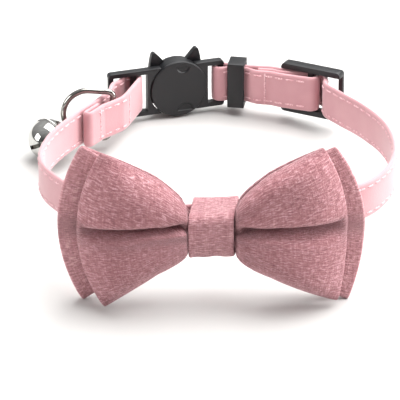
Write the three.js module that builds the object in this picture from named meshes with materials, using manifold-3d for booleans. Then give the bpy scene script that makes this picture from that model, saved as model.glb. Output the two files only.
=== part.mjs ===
// Cat collar with a double bow tie, lying fastened on a table, in millimetres with +Z up.
// The collar is drawn with its ring level and its strap standing on edge: x to the right,
// y from the bow to the buckle, z across the strap. At the end it is tipped on to the table.
import * as THREE from 'three';
import { mergeVertices } from 'three/addons/utils/BufferGeometryUtils.js';
import Module from 'manifold-3d';

const wasm = await Module();
wasm.setup();

// Strap and ring
const strapWidth = 10;
const strapThickness = 1.3;
const gap = 0.3;
const ringHalfWidth = 45.2;
const ringHalfDepth = 41.8;
const straightStep = 5;
const bendStep = 9;
const fineStep = 0.5;

// Buckle, whose two halves lie in one plane
const buckleAngle = 19;
const buckleAcross = -10.9;
const buckleInset = 1.5;
const frameHeight = 13.2;
const frameThickness = 2.2;
const slotHeight = 10.9;
const barThickness = 1.1;
const barWidth = 1.4;
const clipMiddleBar = -12.6;
const clipEndBar = -19;
const clipSlotEdge = -8.8;
const headSlotEdge = 8.3;
const headEndBar = 12.2;
const tongueLength = 6;
const tongueWidth = 7;
const tongueThickness = 1;

// Cat head on the buckle
const headRadius = 7.9;
const headThickness = 4.8;
const headBevel = 0.4;
const earThickness = 1.8;
const earTipAcross = 6;
const earTipHeight = 9.9;
const earInnerAcross = 2.6;
const earOuterAcross = 7.5;
const earInnerHeight = 6.4;
const earOuterHeight = 1.6;

// Slider
const sliderAngle = -27;
const sliderAcross = 25;
const sliderInset = 4.5;
const sliderLength = 17.4;
const sliderHeight = 14;
const sliderDepth = 3.2;
const sliderEndBar = 1.3;

// Keeper
const keeperLength = 4.6;
const keeperWall = 1.1;
const keeperFromBar = 4.6;

// Sewn ends of the strap
const channelWidth = 5.1;
const hemWidth = 3.2;
const hemLength = 5.5;
const tuckLength = 3.8;

// D ring and bell
const ringWire = 1.6;
const ringHalfHeight = 6.6;
const ringReach = 13.4;
const ringHeading = 184;
const ringTip = 7;
const ringDrop = 0.3;
const ringBarShare = 0.3;
const bellRadius = 5.5;
const bellWall = 0.9;
const bellSeamHeight = 0.5;
const bellSeamReach = 0.3;
const bellSlotWidth = 1.1;
const bellSlotLength = 7;
const bellHoleRadius = 1;
const bellLoopRadius = 2.4;
const bellLoopWire = 1;
const bellLoopAngle = -45;
const bellHeading = 230;
const bellFloorGap = 0.2;

// Bow
const clothThickness = 1.2;
const bowAcross = -1.3;
const bowYaw = 4;
const neckHalfHeight = 4;
const neckHalfWidth = 5.9;
const neckHalfDepth = 1;
const frontBow = {
  halfWidth: 33.2,
  halfHeight: 20.9,
  forward: 9,
  backward: 0,
  edgeSlack: 0.78,
  crease: 5,
  raise: { Left: 1.5, Right: 1.1 },
  pull: { topLeft: 0.15, topRight: 0.21, bottomLeft: 0.19, bottomRight: 0.08 },
  flare: { topLeft: 0.62, topRight: 0.46, bottomLeft: 0.8, bottomRight: 0.58 },
  balloon: 2.4,
};
const rearBow = {
  halfWidth: 37.8,
  halfHeight: 20.9,
  forward: 0,
  backward: 3.6,
  edgeSlack: 0.18,
  crease: 0.8,
  raise: { Left: 1.9, Right: -0.4 },
  pull: { topLeft: 0.16, topRight: 0.2, bottomLeft: 0.15, bottomRight: 0.1 },
  flare: { topLeft: 0.76, topRight: 0.76, bottomLeft: 0.92, bottomRight: 0.66 },
  balloon: 0,
};
const knotWidth = 11.2;
const knotWall = 1;
const knotFrontHalfHeight = 5.5;

const layerPitch = strapThickness + gap;
const wrapRadius = Math.hypot(barThickness, barWidth) / 2 + gap + strapThickness / 2;

// Small helpers for plan points
const radians = THREE.MathUtils.degToRad;
const plan = (x, y) => new THREE.Vector2(x, y);
const heading = (degrees) => plan(Math.cos(radians(degrees)), Math.sin(radians(degrees)));
const leftOf = (direction) => plan(-direction.y, direction.x);

// A plan frame gives points by their distance along and out of a straight hard piece.
function planFrame(x, y, degrees) {
  const along = heading(degrees);
  const out = leftOf(along);
  return {
    degrees,
    point: (u, v) => plan(x, y).addScaledVector(along, u).addScaledVector(out, v),
  };
}

const buckle = planFrame(buckleAcross, ringHalfDepth - buckleInset, buckleAngle);
const slider = planFrame(sliderAcross, ringHalfDepth - sliderInset, sliderAngle);
const knotFrame = planFrame(bowAcross, -ringHalfDepth, bowYaw);

// Points on an arc round a centre, from one heading to another.
function arc(centre, radius, from, to, steps) {
  return Array.from({ length: steps + 1 }, (_, i) => {
    const turn = from + ((to - from) * i) / steps;
    return centre.clone().addScaledVector(heading(turn), radius);
  });
}

// A smooth line through chosen plan points, in fine even steps.
function smooth(points) {
  const curve = new THREE.CatmullRomCurve3(
    points.map((p) => new THREE.Vector3(p.x, p.y, 0)), false, 'centripetal',
  );
  const steps = Math.max(2, Math.round(curve.getLength() / fineStep));
  return curve.getSpacedPoints(steps).map((p) => plan(p.x, p.y));
}

// A fine line with points left out where it runs nearly straight.
function thinned(line) {
  const kept = [line[0]];
  let last = line[1].clone().sub(line[0]).normalize();
  for (let i = 1; i < line.length - 1; i += 1) {
    const next = line[i + 1].clone().sub(line[i]).normalize();
    const turned = THREE.MathUtils.radToDeg(Math.acos(Math.min(1, next.dot(last))));
    const travelled = line[i].distanceTo(kept.at(-1));
    if (turned >= bendStep || travelled >= straightStep) {
      kept.push(line[i]);
      last = next;
    }
  }
  kept.push(line.at(-1));
  return kept;
}

// The normal of a plan line at each of its points, on its left side.
function leftNormals(line) {
  return line.map((_, i) => {
    const before = line[Math.max(i - 1, 0)];
    const after = line[Math.min(i + 1, line.length - 1)];
    return leftOf(after.clone().sub(before).normalize());
  });
}

// A line moved to its left by a distance given for each of its points.
function shifted(line, distanceAt) {
  const normals = leftNormals(line);
  return line.map((p, i) => p.clone().addScaledVector(normals[i], distanceAt(i)));
}

// Meshes and solids
function mergedPositions(geometry) {
  const bare = geometry.clone();
  bare.deleteAttribute('normal');
  bare.deleteAttribute('uv');
  return mergeVertices(bare, 1e-4);
}

function toSolid(geometry) {
  const merged = mergedPositions(geometry);
  return new wasm.Manifold(new wasm.Mesh({
    numProp: 3,
    vertProperties: new Float32Array(merged.attributes.position.array),
    triVerts: new Uint32Array(merged.index.array),
  }));
}

function toGeometry(solid) {
  const mesh = solid.getMesh();
  const geometry = new THREE.BufferGeometry();
  geometry.setAttribute('position', new THREE.BufferAttribute(mesh.vertProperties, 3));
  geometry.setIndex(new THREE.BufferAttribute(mesh.triVerts, 1));
  geometry.computeVertexNormals();
  return geometry;
}

// A box given by its lowest and highest corners.
function boxBetween(low, high) {
  const size = high.map((value, i) => value - low[i]);
  const box = new THREE.BoxGeometry(...size);
  return box.translate(...low.map((value, i) => value + size[i] / 2));
}

// A flat outline in x and z, given its thickness along y about the middle plane.
function plate(shape, low, high, bevel = 0) {
  const geometry = new THREE.ExtrudeGeometry(shape, {
    depth: high - low - 2 * bevel,
    bevelEnabled: bevel > 0,
    bevelThickness: bevel,
    bevelSize: bevel,
    bevelOffset: -bevel,
    bevelSegments: 1,
    curveSegments: 12,
  });
  return geometry.translate(0, 0, bevel - high).rotateX(Math.PI / 2);
}

// A closed outline through corner points, each rounded by the same radius.
function roundedOutline(corners, radius) {
  const shape = new THREE.Shape();
  corners.forEach((corner, i) => {
    const before = corners[(i + corners.length - 1) % corners.length];
    const after = corners[(i + 1) % corners.length];
    const start = corner.clone().add(before.clone().sub(corner).setLength(radius));
    const end = corner.clone().add(after.clone().sub(corner).setLength(radius));
    if (i === 0) shape.moveTo(start.x, start.y);
    else shape.lineTo(start.x, start.y);
    shape.quadraticCurveTo(corner.x, corner.y, end.x, end.y);
  });
  shape.closePath();
  return shape;
}

const rectangle = (left, right, half) => [
  plan(left, -half), plan(right, -half), plan(right, half), plan(left, half),
];

const materials = {
  strap: new THREE.MeshStandardMaterial({ color: '#d9a0a6', roughness: 0.55 }),
  cloth: new THREE.MeshStandardMaterial({ color: '#b98288', roughness: 0.9 }),
  plastic: new THREE.MeshStandardMaterial({ color: '#2c2c30', roughness: 0.5 }),
  metal: new THREE.MeshStandardMaterial({ color: '#cfcfcf', roughness: 0.2, metalness: 1 }),
};

function named(name, geometry, material) {
  const mesh = new THREE.Mesh(geometry, material);
  mesh.name = name;
  return mesh;
}

// Strap

// The free runs of the ring as shares of its half width and half depth, hand chosen along the
// real loop: from the buckle down the left side to the bow, and from the bow up the right side.
const leftRun = [
  { across: -0.686, along: 0.556 },
  { across: -0.735, along: 0.46 },
  { across: -0.792, along: 0.36 },
  { across: -0.854, along: 0.243 },
  { across: -0.919, along: 0.1 },
  { across: -0.972, along: -0.06 },
  { across: -1, along: -0.25 },
  { across: -0.985, along: -0.42 },
  { across: -0.92, along: -0.58 },
  { across: -0.78, along: -0.765 },
  { across: -0.5, along: -0.945 },
];
const rightRun = [
  { across: 0.47, along: -0.9 },
  { across: 0.79, along: -0.73 },
  { across: 0.93, along: -0.52 },
  { across: 1, along: -0.24 },
  { across: 0.965, along: 0.14 },
  { across: 0.852, along: 0.415 },
  { across: 0.713, along: 0.636 },
];

const ringPoint = ({ across, along }) => plan(across * ringHalfWidth, along * ringHalfDepth);

// The strap's way through the knot: straight inside it, turning back into the ring beyond it.
const knotRun = [
  { share: -1.25, inwards: 0.7 },
  { share: -0.85, inwards: 0.06 },
  { share: -0.56, inwards: 0 },
  { share: 0.56, inwards: 0 },
  { share: 0.85, inwards: 0.06 },
  { share: 1.25, inwards: 0.7 },
];
const knotPoint = ({ share, inwards }) => knotFrame.point(share * knotWidth, inwards);

// Where the strap passes inside the clip's end bar, and the outer layer from there.
const underEndBar = barThickness / 2 + gap + strapThickness / 2;
const channelTop = buckle.point(clipEndBar - 2.2, -6.1);
const clipExit = [
  buckle.point(clipMiddleBar + wrapRadius * 0.2, wrapRadius),
  buckle.point(clipMiddleBar - 1.6, wrapRadius * 0.85),
  buckle.point(clipEndBar + 1.9, -underEndBar * 0.75),
  buckle.point(clipEndBar + 0.2, -underEndBar - 0.5),
  channelTop,
];

// Three layers lie on each other at the slider: the sewn end is wrapped on its middle bar, its
// tucked tongue goes back under the outer layer, and the outer layer passes over both.
const tuckedAt = { middle: wrapRadius, half: 0.35, end: -1.2 };
const overTuck = layerPitch + 0.1;
const halfSlider = sliderLength / 2;
const sliderEntry = [
  slider.point(wrapRadius + 3.9, -2.9),
  slider.point(wrapRadius + 2.1, 1),
  slider.point(wrapRadius + 0.1, tuckedAt.middle + 1.2),
  slider.point(0, tuckedAt.middle + overTuck),
  slider.point(-halfSlider / 2, tuckedAt.half + overTuck),
  slider.point(-halfSlider + 0.3, tuckedAt.end + overTuck),
];

// The layers between slider and buckle run straight to the head's end bar.
const headBarCentre = buckle.point(headEndBar, 0);
const pairStart = slider.point(-halfSlider - 2.5, tuckedAt.end + layerPitch / 2);
const pairDirection = pairStart.clone().sub(headBarCentre);
const pairHeading = THREE.MathUtils.radToDeg(Math.atan2(pairDirection.y, pairDirection.x));
const pair = planFrame(headBarCentre.x, headBarCentre.y, pairHeading);
const pairLength = pairDirection.length();
const keeperStart = keeperFromBar - keeperLength / 2;
const keeperEnd = keeperStart + keeperLength;
const halfPitch = layerPitch / 2;
const overBar = wrapRadius + 0.15;
const tuckEnd = pairLength - tuckLength;

const outerLayer = smooth([
  ...clipExit,
  ...leftRun.map(ringPoint),
  ...knotRun.map(knotPoint),
  ...rightRun.map(ringPoint),
  ...sliderEntry,
  pair.point(pairLength, halfPitch + 0.1),
  pair.point(tuckEnd, halfPitch + 0.1),
  pair.point(keeperEnd, halfPitch),
  pair.point(keeperStart, halfPitch + 0.15),
  pair.point(0.6, overBar),
]);

// Index of the point of a line that lies nearest to a plan point.
function nearest(line, target) {
  const distances = line.map((p) => p.distanceTo(target));
  return distances.indexOf(Math.min(...distances));
}

// The sewn left end follows the outer layer inside the channel of the D ring.
const channelStart = nearest(outerLayer, channelTop);
const channelEnd = nearest(outerLayer, ringPoint(leftRun[2])) + 1;
const hemSteps = Math.round(hemLength / fineStep);
const hemNarrowing = (i) => THREE.MathUtils.clamp(
  (i - channelStart) / (channelEnd - hemSteps - channelStart), ringBarShare, 1,
);
const channelWidthAt = (i) => THREE.MathUtils.mapLinear(
  hemNarrowing(i), ringBarShare, 1, channelWidth, hemWidth,
);
const channelLayer = shifted(outerLayer, channelWidthAt).slice(channelStart, channelEnd + 1);
const hemTurn = channelLayer.at(-1);
const hemLayer = shifted(outerLayer, (i) => channelWidthAt(i) - layerPitch)
  .slice(channelEnd - hemSteps, channelEnd + 1);
const hemMiddle = hemTurn.clone().lerp(hemLayer.at(-1), 0.5);
const hemHeading = THREE.MathUtils.radToDeg(
  Math.atan2(hemLayer.at(-1).y - hemMiddle.y, hemLayer.at(-1).x - hemMiddle.x),
);

const clipBarCentre = buckle.point(clipMiddleBar, 0);

// Where a straight line from a point meets a circle without a kink, as a heading from its centre.
function tangentHeading(centre, radius, point) {
  const away = point.clone().sub(centre);
  const turn = Math.atan2(away.y, away.x) + Math.acos(radius / away.length());
  return THREE.MathUtils.radToDeg(turn);
}

// The inner right layer, and the tucked end beyond the slider's middle bar.
const innerRun = smooth([
  pair.point(0.6, -overBar),
  pair.point(keeperStart, -halfPitch - 0.15),
  pair.point(keeperEnd, -halfPitch),
  pair.point(tuckEnd - 0.4, -layerPitch * 1.4),
  pair.point(pairLength, -layerPitch * 1.6),
  slider.point(-halfSlider + 0.3, tuckedAt.end - overTuck),
  slider.point(-halfSlider / 2, -wrapRadius - 0.6),
  slider.point(0, -wrapRadius),
]);
const tuckRun = smooth([
  slider.point(0, wrapRadius),
  slider.point(-halfSlider / 2, tuckedAt.half),
  slider.point(-halfSlider + 0.3, tuckedAt.end),
  pair.point(pairLength, -halfPitch),
  pair.point(tuckEnd, -halfPitch),
]);

// From the hem's loose end to the tucked end, in one run.
const strapLine = [
  ...thinned(hemLayer),
  ...arc(hemMiddle, layerPitch / 2, hemHeading, hemHeading + 180, 4).slice(1, -1),
  ...thinned(channelLayer.slice().reverse()),
  ...arc(
    clipBarCentre, wrapRadius,
    tangentHeading(clipBarCentre, wrapRadius, channelLayer[0]), buckleAngle + 80, 7,
  ),
  ...thinned(outerLayer.slice(2, -2)),
  ...arc(headBarCentre, wrapRadius, pairHeading + 90, pairHeading + 270, 8),
  ...thinned(innerRun.slice(2, -2)),
  ...arc(slider.point(0, 0), wrapRadius, sliderAngle - 90, sliderAngle + 90, 8),
  ...thinned(tuckRun.slice(2)),
];

function ribbonGeometry(line, thickness, width) {
  const half = thickness / 2;
  const outline = [...shifted(line, () => half), ...shifted(line, () => -half).reverse()];
  return new THREE.ExtrudeGeometry(new THREE.Shape(outline), { depth: width, bevelEnabled: false });
}

const strap = named('strap', ribbonGeometry(strapLine, strapThickness, strapWidth), materials.strap);

// Buckle

const strapMiddle = strapWidth / 2;

// Turns a solid drawn with x along, y out and z up about a hard piece's own middle into place.
function placedSolid(solid, frame) {
  const origin = frame.point(0, 0);
  return solid.rotate([0, 0, frame.degrees]).translate([origin.x, origin.y, strapMiddle]);
}

function placedFrame(low, high, slots, bars) {
  const halfFrame = frameThickness / 2;
  const halfBar = barThickness / 2;
  const halfSlot = slotHeight / 2;
  const outline = roundedOutline(rectangle(low, high, frameHeight / 2), 1);
  let solid = toSolid(plate(outline, -halfFrame, halfFrame));
  slots.forEach(([from, to]) => {
    solid = solid.subtract(toSolid(boxBetween(
      [from, -frameThickness, -halfSlot], [to, frameThickness, halfSlot],
    )));
  });
  bars.forEach(([from, to]) => {
    solid = solid
      .subtract(toSolid(boxBetween([from, halfBar, -halfSlot], [to, frameThickness, halfSlot])))
      .subtract(toSolid(boxBetween([from, -frameThickness, -halfSlot], [to, -halfBar, halfSlot])));
  });
  return solid;
}

const halfBarWidth = barWidth / 2;
const headInside = -frameThickness / 2;
const headOutside = headInside + headThickness;
const bodyJoin = Math.sqrt(headRadius ** 2 - (frameHeight / 2) ** 2);

// The round head, with bevelled rims and two ears on the plate that faces away from the neck.
function headSolid() {
  const disc = new THREE.Shape();
  disc.absarc(0, 0, headRadius, 0, Math.PI * 2);
  let solid = toSolid(plate(disc, headInside, headOutside, headBevel));
  [-1, 1].forEach((side) => {
    const ear = new THREE.Shape();
    ear.moveTo(side * earInnerAcross, earInnerHeight);
    ear.quadraticCurveTo(
      side * (earTipAcross - 1.6), earTipHeight - 1.2, side * (earTipAcross - 0.3), earTipHeight,
    );
    ear.quadraticCurveTo(
      side * (earTipAcross + 0.5), earTipHeight + 0.1, side * (earTipAcross + 0.6), earTipHeight - 0.5,
    );
    ear.quadraticCurveTo(
      side * (earOuterAcross + 0.1), earTipHeight - 4, side * (earOuterAcross - 0.1), earOuterHeight,
    );
    ear.lineTo(0, 0);
    solid = solid.add(toSolid(plate(ear, headOutside - earThickness, headOutside - headBevel / 2)));
  });
  return solid;
}

const disc = new THREE.CylinderGeometry(headRadius + gap, headRadius + gap, headThickness * 3, 48);
const discClearance = () => toSolid(disc);

const tongueBox = (margin) => toSolid(boxBetween(
  [clipSlotEdge + 0.3, -tongueThickness / 2 - margin, -tongueWidth / 2 - margin],
  [-headRadius + tongueLength + margin, tongueThickness / 2 + margin, tongueWidth / 2 + margin],
));

// Half with the two slots, whose neck ends in a tongue inside the head.
const clipSolid = placedFrame(
  clipEndBar - halfBarWidth, -bodyJoin, [
    [clipEndBar + halfBarWidth, clipMiddleBar - halfBarWidth],
    [clipMiddleBar + halfBarWidth, clipSlotEdge],
  ], [
    [clipEndBar - barWidth, clipEndBar + halfBarWidth],
    [clipMiddleBar - halfBarWidth, clipMiddleBar + halfBarWidth],
  ],
).subtract(discClearance()).add(tongueBox(0));

// Half with the cat head and one slot.
const headFrame = placedFrame(
  bodyJoin, headEndBar + halfBarWidth,
  [[headSlotEdge, headEndBar - halfBarWidth]],
  [[headEndBar - halfBarWidth, headEndBar + barWidth]],
);
const headHalf = headFrame.add(headSolid()).subtract(tongueBox(gap));

const buckleClip = named(
  'buckle_clip', toGeometry(placedSolid(clipSolid, buckle)), materials.plastic,
);
const buckleHead = named(
  'buckle_cat_head', toGeometry(placedSolid(headHalf, buckle)), materials.plastic,
);

// Slider: rails with a middle bar on the inside and end bars on the outside

function sliderSolid() {
  const inside = -barThickness / 2;
  const outside = inside + sliderDepth;
  const halfLength = sliderLength / 2;
  const halfSlot = slotHeight / 2;
  const outline = roundedOutline(rectangle(-halfLength, halfLength, sliderHeight / 2), 1.2);
  return toSolid(plate(outline, inside, outside))
    .subtract(toSolid(boxBetween(
      [-halfLength + sliderEndBar, inside - 1, -halfSlot], [-halfBarWidth, outside + 1, halfSlot],
    )))
    .subtract(toSolid(boxBetween(
      [halfBarWidth, inside - 1, -halfSlot], [halfLength - sliderEndBar, outside + 1, halfSlot],
    )))
    .subtract(toSolid(boxBetween(
      [-halfBarWidth - 0.1, inside + barThickness, -halfSlot], [halfBarWidth + 0.1, outside + 1, halfSlot],
    )))
    .subtract(toSolid(boxBetween(
      [-halfLength - 1, inside - 1, -halfSlot], [-halfLength + sliderEndBar + 0.1, outside - 1, halfSlot],
    )))
    .subtract(toSolid(boxBetween(
      [halfLength - sliderEndBar - 0.1, inside - 1, -halfSlot], [halfLength + 1, outside - 1, halfSlot],
    )));
}

const slide = named('slider', toGeometry(placedSolid(sliderSolid(), slider)), materials.plastic);

// Keeper: a plain sleeve round both layers of the strap

function keeperSolid() {
  const halfInside = layerPitch / 2 + strapThickness / 2 + gap + 0.15;
  const halfHigh = strapWidth / 2 + gap;
  const outer = boxBetween(
    [keeperStart, -halfInside - keeperWall, -halfHigh - keeperWall],
    [keeperStart + keeperLength, halfInside + keeperWall, halfHigh + keeperWall],
  );
  const inner = boxBetween(
    [keeperStart - 1, -halfInside, -halfHigh],
    [keeperStart + keeperLength + 1, halfInside, halfHigh],
  );
  return toSolid(outer).subtract(toSolid(inner));
}

const keeper = named('keeper', toGeometry(placedSolid(keeperSolid(), pair)), materials.plastic);

// D ring: a straight bar in the strap's channel and an arc that leans outwards and up

const barIndex = channelStart + Math.round((channelEnd - channelStart) * ringBarShare);
const channelMiddle = shifted(outerLayer, () => channelWidth / 2)[barIndex];
const ringCentre = new THREE.Vector3(channelMiddle.x, channelMiddle.y, strapMiddle - ringDrop);
const outwards = heading(ringHeading);
const tip = radians(ringTip);
const ringOut = new THREE.Vector3(
  outwards.x * Math.cos(tip), outwards.y * Math.cos(tip), Math.sin(tip),
);
const ringUp = new THREE.Vector3(
  -outwards.x * Math.sin(tip), -outwards.y * Math.sin(tip), Math.cos(tip),
);

const onRing = (out, up) => ringCentre.clone()
  .addScaledVector(ringOut, out)
  .addScaledVector(ringUp, up);

const ringArcCentre = ringReach - ringWire / 2 - ringHalfHeight;
const onRingArc = (degrees) => onRing(
  ringArcCentre + ringHalfHeight * Math.cos(radians(degrees)),
  ringHalfHeight * Math.sin(radians(degrees)),
);

function ringLine() {
  const corner = 0.9;
  const line = [
    onRing(0, 0), onRing(0, ringHalfHeight * 0.7), onRing(0, ringHalfHeight - corner),
    onRing(corner, ringHalfHeight), onRing(ringArcCentre * 0.6, ringHalfHeight),
  ];
  for (let degrees = 75; degrees >= -75; degrees -= 15) line.push(onRingArc(degrees));
  line.push(onRing(ringArcCentre * 0.6, -ringHalfHeight));
  line.push(onRing(corner, -ringHalfHeight));
  line.push(onRing(0, -ringHalfHeight + corner));
  line.push(onRing(0, -ringHalfHeight * 0.7));
  return new THREE.CatmullRomCurve3(line, true, 'centripetal');
}

// A closed tube swept round a closed curve, as one solid.
function closedWire(curve, diameter, steps, sides) {
  const frames = curve.computeFrenetFrames(steps, true);
  const position = [];
  const index = [];
  for (let i = 0; i < steps; i += 1) {
    const centre = curve.getPointAt(i / steps);
    for (let j = 0; j < sides; j += 1) {
      const turn = (j / sides) * Math.PI * 2;
      const point = centre.clone()
        .addScaledVector(frames.normals[i], Math.cos(turn) * diameter / 2)
        .addScaledVector(frames.binormals[i], Math.sin(turn) * diameter / 2);
      position.push(point.x, point.y, point.z);
      const here = i * sides;
      const there = ((i + 1) % steps) * sides;
      const next = (j + 1) % sides;
      index.push(here + j, there + next, there + j, here + j, here + next, there + next);
    }
  }
  const geometry = new THREE.BufferGeometry();
  geometry.setAttribute('position', new THREE.Float32BufferAttribute(position, 3));
  geometry.setIndex(index);
  geometry.computeVertexNormals();
  return geometry;
}

const dRing = named('d_ring', closedWire(ringLine(), ringWire, 56, 10), materials.metal);

// Bow: each bow is one band of cloth folded into a flat loop and pinched in the middle

const aroundSteps = 48;
const acrossSteps = 10;
const creaseWidth = 0.17;

// Where a share of the way round the loop lies: which side, how far out between the knot and the
// end fold, the distance from the middle, and the depth from the bow's plane, front to back.
function roundLoop(bow, around) {
  const turn = ((around % 1) + 1) % 1;
  const quarter = Math.floor(turn * 4);
  const part = turn * 4 - quarter;
  const fromFold = quarter % 2 === 0 ? part : 1 - part;
  const side = quarter === 0 || quarter === 3 ? 1 : -1;
  const facing = quarter < 2 ? 1 : -1;
  const neckFrom = 1 - 4 / aroundSteps;
  if (fromFold >= neckFrom) {
    const reach = (neckHalfWidth * (1 - fromFold)) / (1 - neckFrom);
    return { side, out: 0, reach, depth: facing };
  }
  const angle = (fromFold / neckFrom) * (Math.PI / 2);
  const out = Math.cos(angle);
  const reach = neckHalfWidth + (bow.halfWidth - neckHalfWidth) * out;
  return { side, out, reach, depth: facing * Math.sin(angle) };
}

// The middle surface of a bow: around runs along the cloth, across from its low to its high edge.
// The cloth balloons out of the neck and opens to the full height by a power of the way out, its
// flare, which is less than one where the edge bulges. It swells out of its plane with its edges
// curling back, closes in a round fold at each end and has a crease along its middle. Each wing
// sits a little higher or lower than the neck.
function bowPoint(bow, around, across) {
  const { side, out, reach, depth } = roundLoop(bow, around);
  const wing = side > 0 ? 'Right' : 'Left';
  const edge = (across > 0 ? 'top' : 'bottom') + wing;
  const height = neckHalfHeight + (bow.halfHeight - neckHalfHeight) * out ** bow.flare[edge]
    + bow.balloon * (1 - out ** 1.5) * Math.min(1, out * 12);
  const bulge = depth > 0 ? bow.forward * out ** 0.8 : bow.backward * out ** 1.6;
  const slack = 1 - bow.edgeSlack * Math.abs(across) ** 2.5;
  const crease = bow.crease * Math.min(1, out * 3) * (1 - out ** 4)
    * Math.exp(-((across / creaseWidth) ** 2)) * Math.max(0, depth);
  return new THREE.Vector3(
    side * reach * (1 - bow.pull[edge] * out * across ** 2),
    crease - (neckHalfDepth + bulge * slack) * depth,
    across * height + bow.raise[wing] * Math.min(1, out * 3),
  );
}

function bowGeometry(bow) {
  const position = [];
  const index = [];
  const nudge = 1e-3;
  for (let i = 0; i < aroundSteps; i += 1) {
    for (let j = 0; j <= acrossSteps; j += 1) {
      const around = i / aroundSteps;
      const across = (2 * j) / acrossSteps - 1;
      const point = bowPoint(bow, around, across);
      const alongCloth = bowPoint(bow, around + nudge, across)
        .sub(bowPoint(bow, around - nudge, across));
      const upCloth = bowPoint(bow, around, Math.min(1, across + nudge))
        .sub(bowPoint(bow, around, Math.max(-1, across - nudge)));
      const normal = upCloth.cross(alongCloth).setZ(0).setLength(clothThickness / 2);
      const outer = point.clone().add(normal);
      const inner = point.clone().sub(normal);
      position.push(...outer.toArray(), ...inner.toArray());
    }
  }
  const vertex = (i, j, inner) => 2 * ((i % aroundSteps) * (acrossSteps + 1) + j) + inner;
  for (let i = 0; i < aroundSteps; i += 1) {
    for (let j = 0; j < acrossSteps; j += 1) {
      const outer = [[i, j], [i, j + 1], [i + 1, j + 1], [i + 1, j]].map(([a, b]) => vertex(a, b, 0));
      const inner = [[i, j], [i, j + 1], [i + 1, j + 1], [i + 1, j]].map(([a, b]) => vertex(a, b, 1));
      index.push(outer[0], outer[1], outer[2], outer[0], outer[2], outer[3]);
      index.push(inner[0], inner[2], inner[1], inner[0], inner[3], inner[2]);
    }
    const top = [vertex(i, acrossSteps, 0), vertex(i + 1, acrossSteps, 0),
      vertex(i + 1, acrossSteps, 1), vertex(i, acrossSteps, 1)];
    const low = [vertex(i, 0, 0), vertex(i + 1, 0, 0), vertex(i + 1, 0, 1), vertex(i, 0, 1)];
    index.push(top[0], top[3], top[1], top[1], top[3], top[2]);
    index.push(low[0], low[1], low[3], low[1], low[2], low[3]);
  }
  const geometry = new THREE.BufferGeometry();
  geometry.setAttribute('position', new THREE.Float32BufferAttribute(position, 3));
  geometry.setIndex(index);
  geometry.computeVertexNormals();
  return geometry;
}

// Moves a piece drawn about the knot, with y out of the ring, to the knot on the strap.
function atKnot(geometry, backFromStrap) {
  const origin = knotFrame.point(0, -backFromStrap);
  return geometry.rotateZ(radians(bowYaw)).translate(origin.x, origin.y, strapMiddle);
}

const neckDepth = neckHalfDepth + clothThickness / 2;
const rearBowDepth = strapThickness / 2 + gap + neckDepth;
const frontBowDepth = rearBowDepth + 2 * neckDepth + gap;
const rear = named('bow_rear', atKnot(bowGeometry(rearBow), rearBowDepth), materials.cloth);
const front = named('bow_front', atKnot(bowGeometry(frontBow), frontBowDepth), materials.cloth);

// Knot band: one cloth sleeve round both bows and the strap
function knotGeometry() {
  const inside = strapThickness / 2 + gap * 1.5;
  const outside = frontBowDepth + neckDepth + gap;
  const backHalf = strapWidth / 2 + gap;
  const frontHalf = knotFrontHalfHeight - knotWall;
  const section = (wall) => [
    plan(-outside - wall, -frontHalf - wall), plan(inside + wall, -backHalf - wall),
    plan(inside + wall, backHalf + wall), plan(-outside - wall, frontHalf + wall),
  ];
  const shape = roundedOutline(section(knotWall), 1.8);
  shape.holes.push(roundedOutline(section(0), 0.3));
  const geometry = new THREE.ExtrudeGeometry(shape, {
    depth: knotWidth, bevelEnabled: false, curveSegments: 5,
  });
  // The outline's x is the way out of the ring, its y the height.
  return geometry.translate(0, 0, -knotWidth / 2)
    .rotateX(Math.PI / 2)
    .rotateZ(Math.PI / 2);
}

const knot = named('knot_band', atKnot(knotGeometry(), 0), materials.cloth);

// Table: the collar stands on the low corners of the bow and the rim of the cat head

function lowestAlong(meshes, up, wanted) {
  let lowest = null;
  meshes.forEach((mesh) => {
    const { position } = mesh.geometry.attributes;
    for (let i = 0; i < position.count; i += 1) {
      const point = new THREE.Vector3().fromBufferAttribute(position, i);
      if (wanted(point) && (!lowest || point.dot(up) < lowest.dot(up))) lowest = point;
    }
  });
  return lowest;
}

function tableUp() {
  let up = new THREE.Vector3(0, 0, 1);
  let feet = [];
  for (let round = 0; round < 8; round += 1) {
    feet = [
      lowestAlong([front, rear], up, (p) => p.x < bowAcross),
      lowestAlong([front, rear], up, (p) => p.x > bowAcross),
      lowestAlong([buckleHead], up, () => true),
    ];
    up = feet[1].clone().sub(feet[0]).cross(feet[2].clone().sub(feet[0])).normalize();
  }
  return { up, height: feet[0].dot(up) };
}

const table = tableUp();

// Bell: a thin ball with a rolled seam, a slot with two holes and a soldered loop

const hook = onRingArc(bellLoopAngle);
const loopOut = bellRadius + bellLoopRadius - bellLoopWire * 0.7;
const hookOut = loopOut + bellLoopRadius - bellLoopWire / 2 - ringWire / 2 - gap;

// The bell hangs below its hook by the angle that brings it just over the table.
function bellCentre() {
  const away = heading(bellHeading);
  const at = (degrees) => new THREE.Vector3(
    hook.x + away.x * hookOut * Math.cos(radians(degrees)),
    hook.y + away.y * hookOut * Math.cos(radians(degrees)),
    hook.z + hookOut * Math.sin(radians(degrees)),
  );
  const height = bellRadius + bellSeamReach + bellFloorGap;
  let low = -80;
  let high = 80;
  for (let i = 0; i < 40; i += 1) {
    const middle = (low + high) / 2;
    if (at(middle).dot(table.up) - table.height < height) low = middle;
    else high = middle;
  }
  return at(high);
}

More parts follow.
